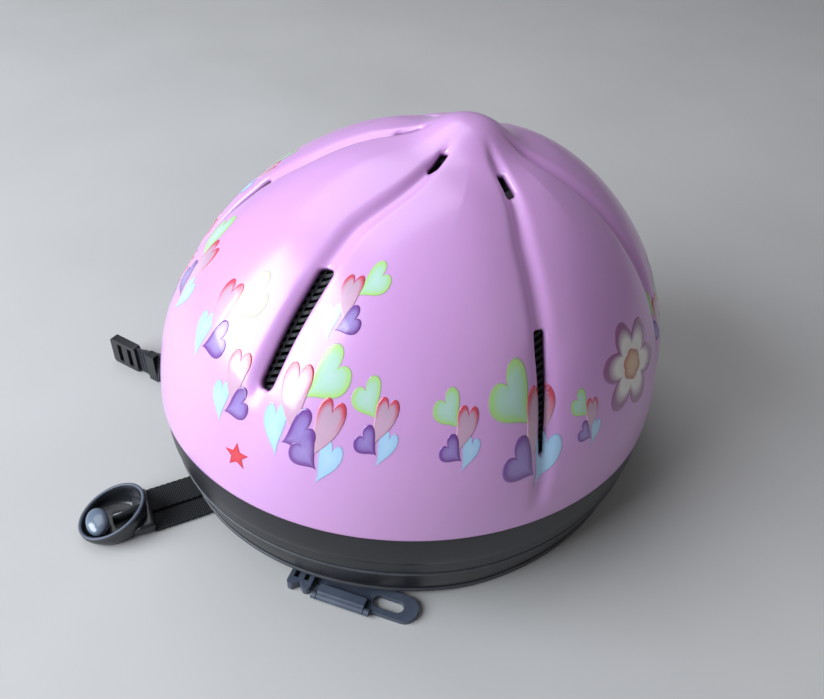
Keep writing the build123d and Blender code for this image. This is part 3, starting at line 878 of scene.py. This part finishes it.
build_wall_pad("brow_cushion", "brow_pad", -90, 42, 24, 60, (-0.5, 0, 0.5))
build_wall_pad("nape_cushion", "nape_pad", 90, 40, 14, 58, (-0.5, 0, 0.5))
build_wall_pad("side_cushion_left", "side_pad_left", -6, 16.5, 44, 84, (0,))
build_wall_pad("side_cushion_right", "side_pad_right", 186, 16.5, 44, 84, (0,))
build_crown_pad()


# ---- straps

# The straps' measures in millimetres, as in the frame
GROUND_GAP = 0.3
WEB_WALL = 1.8
WEB_WIDTH = 18.0
WEB_RIB = 2.1
REAR_WIDTH = 14.4
CHIN_WIDTH = 27.0
CHIN_RIB = 1.5
FLAT = GROUND_GAP + WEB_WALL / 2
STRAP_IN = 33.3


def wall_place(azimuth, height, inset):
    """A place just inside the cavity wall, in millimetres, and the direction across a strap there."""
    half_width, half_length = HALF_WIDTH / MM - inset, HALF_LENGTH / MM - inset
    up = max(height - RIM_HEIGHT / MM, 0.0) / (DOME_HEIGHT / MM - inset)
    share = math.sqrt(1 - up * up)
    c, s = math.cos(math.radians(azimuth)), math.sin(math.radians(azimuth))
    place = (half_width * share * c, half_length * share * s + CROWN_SHIFT / MM * (1 - share), height)
    return place, (-s, c, 0)


def flat_place(x, y, heading, z):
    """A place where the webbing lies flat, and the direction across it."""
    turn = math.radians(heading)
    return (x, y, z), (-math.sin(turn), math.cos(turn), 0)


def spline(values, share):
    """A smooth curve through rows of numbers, read at shares from 0 to 1, and its runs' length."""
    values = np.asarray(values, float)
    spans = np.linalg.norm(np.diff(values[:, :3], axis=0), axis=1)
    knots = np.concatenate([[0], np.cumsum(spans)]) / spans.sum()
    slopes = np.gradient(values, knots, axis=0)
    index = np.clip(np.searchsorted(knots, share, side="right") - 1, 0, len(knots) - 2)
    width = (knots[index + 1] - knots[index])[:, None]
    t = (share[:, None] - knots[index][:, None]) / width
    h00, h10 = 2 * t**3 - 3 * t**2 + 1, t**3 - 2 * t**2 + t
    h01, h11 = -2 * t**3 + 3 * t**2, t**3 - t**2
    near, far = values[index], values[index + 1]
    found = h00 * near + h10 * width * slopes[index] + h01 * far + h11 * width * slopes[index + 1]
    return found, spans.sum()


def build_ribbon(name, nodes, stations, width, wall, rib_pitch, rib_height, material, blend=None,
                 flip=False, shift=(0.0, 0.0)):
    """Woven webbing through stations, with its ribs and rounded edges. Sizes are in millimetres."""
    rows = [[*place, *across] for place, across in stations]
    length = spline(rows, np.array([0.0]))[1]
    count = int(length / (rib_pitch / 6)) + 2
    share = np.linspace(0, 1, count)
    sampled, _ = spline(rows, share)
    centre, across = sampled[:, :3], sampled[:, 3:]
    centre[:, 2] = np.maximum(centre[:, 2], GROUND_GAP + wall / 2)
    along = np.gradient(centre, axis=0)
    along /= np.linalg.norm(along, axis=1, keepdims=True)
    across = across - along * np.sum(across * along, axis=1, keepdims=True)
    across /= np.linalg.norm(across, axis=1, keepdims=True)
    normal = np.cross(along, across)
    turns = 36
    angle = np.linspace(0, 2 * math.pi, turns, endpoint=False)
    shape_a = np.sign(np.cos(angle)) * np.abs(np.cos(angle)) ** 0.30
    shape_b = np.sign(np.sin(angle)) * np.abs(np.sin(angle)) ** 0.45
    distance = share * length
    rib = rib_height * (0.5 + 0.5 * np.cos(2 * math.pi * distance / rib_pitch))
    points, along_values, across_values = [], [], []
    for k in range(count):
        half = wall / 2 - rib_height + rib[k]
        middle = centre[k] + across[k] * shift[0] + normal[k] * shift[1]
        edge = width / 2 - 0.15 + 0.15 * math.cos(math.pi * distance[k] / rib_pitch)
        for a, b in zip(shape_a, shape_b):
            points.append((middle + across[k] * a * edge + normal[k] * b * half) * MM)
            along_values.append(distance[k] * MM)
            across_values.append(a * edge * MM)
    faces = tube_faces(count, turns)
    if flip:
        points = [(-x, y, z) for x, y, z in points]
        faces = [tuple(reversed(face)) for face in faces]
    body = None if blend else "helmet"
    piece = new_object(name, points, faces, material, body=body)
    add_values(piece, along=along_values, across=across_values)
    if blend:
        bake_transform(piece)
    if nodes:
        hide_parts(*nodes)


def build_harness():
    """Two straps a side from the anchors to the divider, then the two chin straps, in millimetres."""
    front_side = wall_place(-38, 67, STRAP_IN)[1]
    front = [
        wall_place(-38, 67, STRAP_IN),
        wall_place(-38, 40, STRAP_IN),
        wall_place(-38, 14, STRAP_IN + 2),
        ((65, -53, 3.0), front_side),
        ((79, -61.5, FLAT), front_side),
    ]
    rear = [
        wall_place(28, 67, STRAP_IN),
        wall_place(28, 40, STRAP_IN),
        ((73, 22, 15), (0.35, 0.94, 0)),
        ((74, 2, FLAT + 2.2), (0.94, 0.35, 0)),
        flat_place(75, -16, -75, FLAT),
        flat_place(82, -36, -68, FLAT),
    ]
    for side, flip in (("left", False), ("right", True)):
        build_ribbon(f"front_webbing_{side}", [f"front_strap_{side}"], front, WEB_WIDTH, WEB_WALL, WEB_RIB,
                     0.2, WEBBING, flip=flip)
        build_ribbon(f"rear_webbing_{side}", [f"rear_strap_{side}"], rear, REAR_WIDTH, WEB_WALL, WEB_RIB,
                     0.2, WEBBING, flip=flip)
    low = GROUND_GAP + 0.95
    chin = [
        flat_place(46, -42, 200, low),
        flat_place(29, -55, 215, low),
        flat_place(11, -77, 238, low),
        flat_place(0, -104, 270, low),
        flat_place(0, -128, 270, low),
        flat_place(0, -148.6, 270, low),
    ]
    mouth = ("helmet", "chin_left", (0, -0.1245, 0.002), (0, -0.1310, 0.002))
    build_ribbon("chin_webbing_left", ["chin_strap_inner_left", "chin_strap_left"], chin, CHIN_WIDTH,
                 WEB_WALL, CHIN_RIB, 0.03, CHIN_WEBBING, blend=mouth)
    build_ribbon("chin_webbing_left_ply", [], chin, 15.5, 1.7, CHIN_RIB, 0.03, CHIN_WEBBING, blend=mouth,
                 shift=(-5.6, 1.75))
    heading = math.radians(213)
    run = (math.cos(heading), math.sin(heading), 0)
    run_side = (-math.sin(heading), math.cos(heading), 0)
    middle = GROUND_GAP + 9.0

    def on_run(distance, z, side_share, up_share):
        """A station on the free run."""
        place = (-76.0 + run[0] * distance, -107.0 + run[1] * distance, z)
        return place, (run_side[0] * side_share, run_side[1] * side_share, up_share)

    loose = [
        flat_place(-64, -40, -5, FLAT),
        flat_place(-46, -44, -30, FLAT),
        flat_place(-35, -60, -95, FLAT),
        flat_place(-40, -79, -128, FLAT),
        flat_place(-57, -94, -147, FLAT),
        on_run(0, FLAT, 1, 0),
        on_run(5, FLAT + 2.6, 0.9, 0.3),
        on_run(10, middle - 2.4, 0.6, 1),
        on_run(15, middle, 0, 1),
        on_run(40, middle, 0, 1),
    ]
    start = tuple(v * MM for v in on_run(-2.5, 1.2, 1, 0)[0])
    end = tuple(v * MM for v in on_run(3.0, 1.2, 1, 0)[0])
    build_ribbon("chin_webbing_right", ["chin_strap_inner_right", "chin_strap_right"], loose, WEB_WIDTH,
                 WEB_WALL, WEB_RIB, 0.25, WEBBING, blend=("helmet", "chin_right", start, end))


build_harness()


# ---- buckle

# The socket's measures in millimetres: its middle, its radii, and its slanting lip
SOCKET_Y = -166.0
SOCKET_RADII = (14.5, 17.0)
SOCKET_LIP = 10.3
LIP_SLANT = 6.0
# Each ring of the cup: share of the full radius, height as a share of the lip's, and a fixed lift
CUP_RINGS = (
    (0.02, 0.0, 0.3), (0.60, 0.0, 0.3), (0.80, 0.0, 0.5), (0.90, 0.0, 1.3), (0.955, 0.15, 1.6),
    (0.985, 0.40, 1.2), (0.995, 0.70, 0.6), (0.985, 0.93, 0.2), (1.0, 0.96, 0.2), (1.0, 0.985, 0.5),
    (0.975, 1.0, 0.65), (0.935, 0.985, 0.5), (0.915, 0.95, 0.2), (0.885, 0.88, 0.2), (0.875, 0.50, 0.8),
    (0.85, 0.10, 2.0), (0.74, 0.0, 2.3), (0.40, 0.0, 2.3), (0.02, 0.0, 2.3),
)
# The neck over the strap's end: share of the way to the cup, half width and half height
NECK_START = -147.6
NECK_MIDDLE = 3.9
NECK_RINGS = ((0, 12.4, 2.0), (0.12, 13.2, 2.8), (0.3, 13.6, 3.2), (0.65, 13.4, 3.3), (1.0, 13.0, 3.3))
NECK_DEPTH = 0.94
BUTTON_Y = -173.8
BUTTON_RADII = (8.4, 5.6)
BUTTON_FOOT = 5.3
BUTTON_SHOULDER = 6.6
BUTTON_CROWN = 3.4


def build_socket():
    """The egg-shaped cup: a rounded foot, a slanting rolled lip and a hollow inside."""
    turns = 96
    angle = np.linspace(0, 2 * math.pi, turns, endpoint=False)
    top = SOCKET_LIP + LIP_SLANT * np.sin(angle)
    points = []
    for radius, share, lift in CUP_RINGS:
        x = SOCKET_RADII[0] * radius * np.cos(angle)
        y = SOCKET_Y + SOCKET_RADII[1] * radius * np.sin(angle)
        points.extend(np.stack([x, y, top * share + lift * np.ones(turns)], axis=-1) * MM)
    faces = tube_faces(len(CUP_RINGS), turns)
    # A thin upright rib stands on the cup's floor
    rib = len(points)
    for x, y, z in ((-1, -167, 1.5), (1, -167, 1.5), (1, -151.5, 1.5), (-1, -151.5, 1.5),
                    (-0.7, -166.5, 8), (0.7, -166.5, 8), (0.7, -152, 8.6), (-0.7, -152, 8.6)):
        points.append(np.array([x, y, z]) * MM)
    faces += [(rib + 3, rib + 2, rib + 1, rib), (rib + 4, rib + 5, rib + 6, rib + 7)]
    for k in range(4):
        right = (k + 1) % 4
        faces.append((rib + k, rib + right, rib + 4 + right, rib + 4 + k))
    neck = len(points)
    corners = 48
    for step, half_width, half_height in NECK_RINGS:
        for t in np.linspace(0, 2 * math.pi, corners, endpoint=False):
            x = half_width * np.sign(math.cos(t)) * abs(math.cos(t)) ** 0.35
            z = NECK_MIDDLE + half_height * np.sign(math.sin(t)) * abs(math.sin(t)) ** 0.5
            reach = math.sqrt(1 - (x / SOCKET_RADII[0]) ** 2)
            wall_y = SOCKET_Y + SOCKET_RADII[1] * NECK_DEPTH * reach
            points.append(np.array([x, NECK_START + step * (wall_y - NECK_START), z]) * MM)
    faces += [tuple(neck + i for i in reversed(face)) for face in tube_faces(len(NECK_RINGS), corners)]
    piece = new_object("socket_cup", points, faces, BUCKLE, body="chin_left")
    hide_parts("buckle_socket")


def build_button():
    """The glossy crowned pad of the release button."""
    turns = 72
    angle = np.linspace(0, 2 * math.pi, turns, endpoint=False)
    rings = [(0.02, BUTTON_FOOT - 0.5), (0.9, BUTTON_FOOT - 0.5), (1.0, BUTTON_FOOT), (1.0, BUTTON_SHOULDER)]
    rings += [(math.cos(t) ** 0.8, BUTTON_SHOULDER + BUTTON_CROWN * math.sin(t))
              for t in np.radians(np.linspace(12, 86, 12))]
    points = []
    for share, z in rings:
        x = BUTTON_RADII[0] * share * np.cos(angle)
        y = BUTTON_RADII[1] * share * np.sin(angle)
        tip = 0.10 * min(max((z - BUTTON_FOOT) / (BUTTON_SHOULDER - BUTTON_FOOT), 0), 1)
        points.extend(np.stack([x, BUTTON_Y + y, z + tip * y], axis=-1) * MM)
    faces = tube_faces(len(rings), turns)
    piece = new_object("button_crown", points, faces, BUTTON, body="button")
    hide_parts("release_button")


def build_socket_lip():
    """The paler rolled lip round the cup's slanting mouth."""
    turns, sides = 96, 14
    points = []
    for k in range(turns):
        a = 2 * math.pi * k / turns
        out = np.array([math.cos(a), math.sin(a), 0.0])
        x, y = (SOCKET_RADII[0] - 0.6) * math.cos(a), (SOCKET_RADII[1] - 0.7) * math.sin(a)
        middle = np.array([x, SOCKET_Y + y, SOCKET_LIP + 0.5 + LIP_SLANT * math.sin(a)])
        for t in np.linspace(0, 2 * math.pi, sides, endpoint=False):
            points.append((middle + 0.85 * math.cos(t) * out + np.array([0, 0, 0.75 * math.sin(t)])) * MM)
    faces = []
    for k in range(turns):
        for j in range(sides):
            a, b = k * sides, ((k + 1) % turns) * sides
            right = (j + 1) % sides
            faces.append((a + j, b + j, b + right, a + right))
    new_object("socket_lip", points, faces, HARDWARE, body="chin_left")


build_socket()
build_socket_lip()
build_button()


# ---- moulded pieces that keep the frame's shape

KEPT = [
    ("eps_liner", FOAM, "eps_foam"),
    ("strap_anchors", HARDWARE, "hardware_plastic"),
    ("buckle_tongue", BUCKLE, "buckle_plastic"),
    ("strap_keeper", BUCKLE, "buckle_plastic"),
]
for part in ("divider", "lock_flap", "slide_clip"):
    KEPT += [(f"{part}_{side}", HARDWARE, "hardware_plastic") for side in ("left", "right")]
for node, material, slot in KEPT:
    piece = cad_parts[node]
    piece.data.materials.clear()
    piece.data.materials.append(material)


# ---- camera, light and floor

# The camera stands on the wearer's left, a little ahead and above the crown, with a slight roll
CAMERA_PLACE = Vector((0.2964, -0.1556, 0.3524))
CAMERA_TARGET = Vector((0.01961, -0.01182, 0.08))
CAMERA_ROLL = math.radians(2.65)
CAMERA_LENS = 36.75
camera_data = bpy.data.cameras.new("camera")
camera_data.sensor_width = 36
camera_data.lens = CAMERA_LENS
camera = add_object("camera", camera_data)
aim = (CAMERA_TARGET - CAMERA_PLACE).to_track_quat("-Z", "Y").to_matrix()
roll = Matrix.Rotation(CAMERA_ROLL, 3, "Z")
camera.matrix_world = Matrix.Translation(CAMERA_PLACE) @ (aim @ roll).to_4x4()
bpy.context.scene.camera = camera


def area_light(name, place, target, size, power, colour):
    """A soft rectangular light that faces a target."""
    data = bpy.data.lights.new(name, "AREA")
    data.shape = "RECTANGLE"
    data.size, data.size_y = size
    data.energy = power
    data.color = colour
    light = add_object(name, data)
    light.location = place
    light.rotation_euler = (Vector(target) - Vector(place)).to_track_quat("-Z", "Y").to_euler()


area_light("window", (-0.10, -1.15, 0.72), (0, 0, 0.08), (1.2, 1.0), 34, (0.86, 0.93, 1.0))
area_light("sky", (-0.7, -0.1, 1.5), (0, 0, 0.05), (1.2, 1.2), 9, (0.92, 0.95, 1.0))
area_light("fill", (1.2, 0.7, 0.8), (0, 0, 0.08), (0.9, 0.9), 0.8, (1.0, 0.90, 0.90))
bpy.context.scene.view_settings.view_transform = "Standard"

world = bpy.data.worlds.new("studio")
world.use_nodes = True
world.node_tree.nodes["Background"].inputs["Color"].default_value = (0.78, 0.79, 0.84, 1)
world.node_tree.nodes["Background"].inputs["Strength"].default_value = 0.20
bpy.context.scene.world = world


def build_floor():
    """A plain pale floor under everything."""
    reach = 6.0
    material = mottled("floor_pale", (0.44, 0.43, 0.42), (0.48, 0.47, 0.46), 6, (0.85, 0.95))
    mesh = bpy.data.meshes.new("floor")
    mesh.from_pydata([(-reach, -reach, 0), (reach, -reach, 0), (reach, reach, 0), (-reach, reach, 0)],
                     [], [(0, 1, 2, 3)])
    mesh.materials.append(material)
    add_object("floor", mesh)


build_floor()


bpy.context.view_layer.update()
